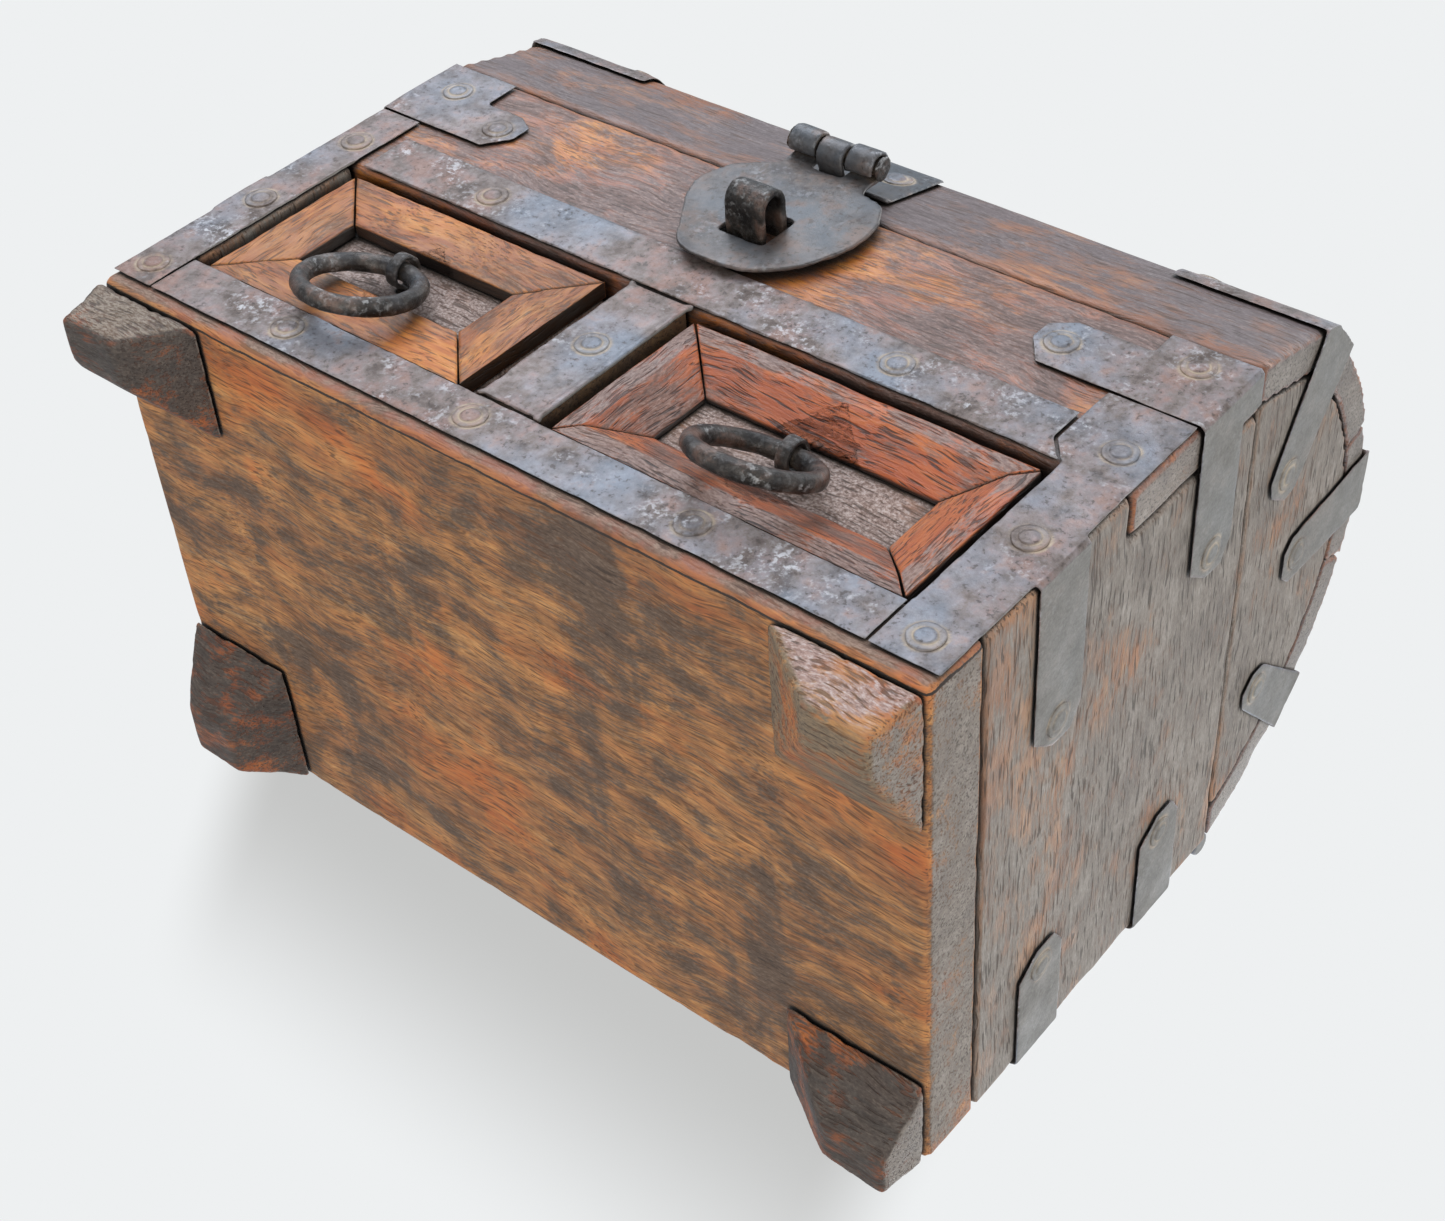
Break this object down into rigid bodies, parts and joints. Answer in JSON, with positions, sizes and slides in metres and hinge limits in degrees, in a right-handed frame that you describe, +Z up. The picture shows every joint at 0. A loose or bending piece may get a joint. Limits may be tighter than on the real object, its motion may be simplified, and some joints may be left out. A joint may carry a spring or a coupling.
{
  "type": "keepsake chest",
  "caption": "Small iron-bound wooden chest with a domed hinged lid, hasp and staple, and drawers with ring pulls below.",
  "frame": {"origin": "centre of the bounding box on the surface the feet stand on", "axes": "+Z up with the chest on its feet, -Y out of the drawer fronts, +X to the right seen from the front"},
  "size_m": [0.2056, 0.1412, 0.1686],
  "materials": {
    "bottom_wood": "worn oiled hardwood, dark wavy grain",
    "side_wood": "dull worn hardwood",
    "front_wood": "dark red-brown hardwood, half gloss",
    "lid_wood": "dark hardwood, worn",
    "inside_wood": "unfinished hardwood",
    "left_drawer_wood": "worn orange-brown hardwood",
    "right_drawer_wood": "red-brown coarse-grained hardwood",
    "foot_wood": "rough end grain",
    "dark_iron": "hand-beaten dark iron, satin"
  },
  "bodies": {
    "case": {"bottom_board": "bottom_wood", "side_board_left": "side_wood", "side_board_right": "side_wood", "back_board": "side_wood", "front_panel": "front_wood", "compartment_floor": "inside_wood", "drawer_partition": "front_wood", "foot_front_left": "foot_wood", "foot_front_right": "foot_wood", "foot_back_left": "foot_wood", "foot_back_right": "foot_wood", "strip_bottom": "dark_iron", "strip_top": "dark_iron", "strip_centre": "dark_iron", "strip_left": "dark_iron", "strip_right": "dark_iron", "strap_front_upper_left": "dark_iron", "strap_front_upper_right": "dark_iron", "strap_back_lower_left": "dark_iron", "strap_back_lower_right": "dark_iron", "strap_back_upper_left": "dark_iron", "strap_back_upper_right": "dark_iron", "hinge_case_leaf_left": "dark_iron", "hinge_case_leaf_right": "dark_iron", "staple": "dark_iron"},
    "lid": {"lid_front_rail": "lid_wood", "lid_stave_front": "lid_wood", "lid_stave_top": "lid_wood", "lid_stave_back": "lid_wood", "lid_back_rail": "lid_wood", "lid_end_left": "side_wood", "lid_end_right": "side_wood", "lid_strap_front_left": "dark_iron", "lid_strap_middle_left": "dark_iron", "lid_strap_back_left": "dark_iron", "lid_strap_front_right": "dark_iron", "lid_strap_middle_right": "dark_iron", "lid_strap_back_right": "dark_iron", "hinge_lid_leaf_left": "dark_iron", "hinge_lid_leaf_right": "dark_iron", "hasp_lid_leaf": "dark_iron"},
    "hasp": {"hasp_plate": "dark_iron", "hasp_pin": "dark_iron"},
    "drawer_left": {"drawer_left_front": "left_drawer_wood", "drawer_left_moulding": "left_drawer_wood", "drawer_left_bottom": "inside_wood", "drawer_left_side_left": "inside_wood", "drawer_left_side_right": "inside_wood", "drawer_left_back": "inside_wood", "pull_eye_left": "dark_iron"},
    "drawer_right": {"drawer_right_front": "right_drawer_wood", "drawer_right_moulding": "right_drawer_wood", "drawer_right_bottom": "inside_wood", "drawer_right_side_left": "inside_wood", "drawer_right_side_right": "inside_wood", "drawer_right_back": "inside_wood", "pull_eye_right": "dark_iron"},
    "ring_left": {"pull_ring_left": "dark_iron"},
    "ring_right": {"pull_ring_right": "dark_iron"}
  },
  "joints": [
    {"name": "lid_hinge", "type": "hinge", "parent": "case", "child": "lid", "pos_m": [0, 0.06785, 0.1151], "axis": [-1, 0, 0], "range_deg": [0, 110]},
    {"name": "hasp_hinge", "type": "hinge", "parent": "lid", "child": "hasp", "pos_m": [-0.0022, -0.0638, 0.1245], "axis": [-1, 0, 0], "range_deg": [0, 215]},
    {"name": "drawer_left_slide", "type": "slide", "parent": "case", "child": "drawer_left", "axis": [0, -1, 0], "range_m": [0, 0.085]},
    {"name": "drawer_right_slide", "type": "slide", "parent": "case", "child": "drawer_right", "axis": [0, -1, 0], "range_m": [0, 0.085]},
    {"name": "ring_left_hinge", "type": "hinge", "parent": "drawer_left", "child": "ring_left", "pos_m": [-0.05105, -0.0588, 0.04865], "axis": [-1, 0, 0], "range_deg": [-5, 134]},
    {"name": "ring_right_hinge", "type": "hinge", "parent": "drawer_right", "child": "ring_right", "pos_m": [0.0451, -0.0568, 0.04855], "axis": [-1, 0, 0], "range_deg": [-13, 120]}
  ]
}
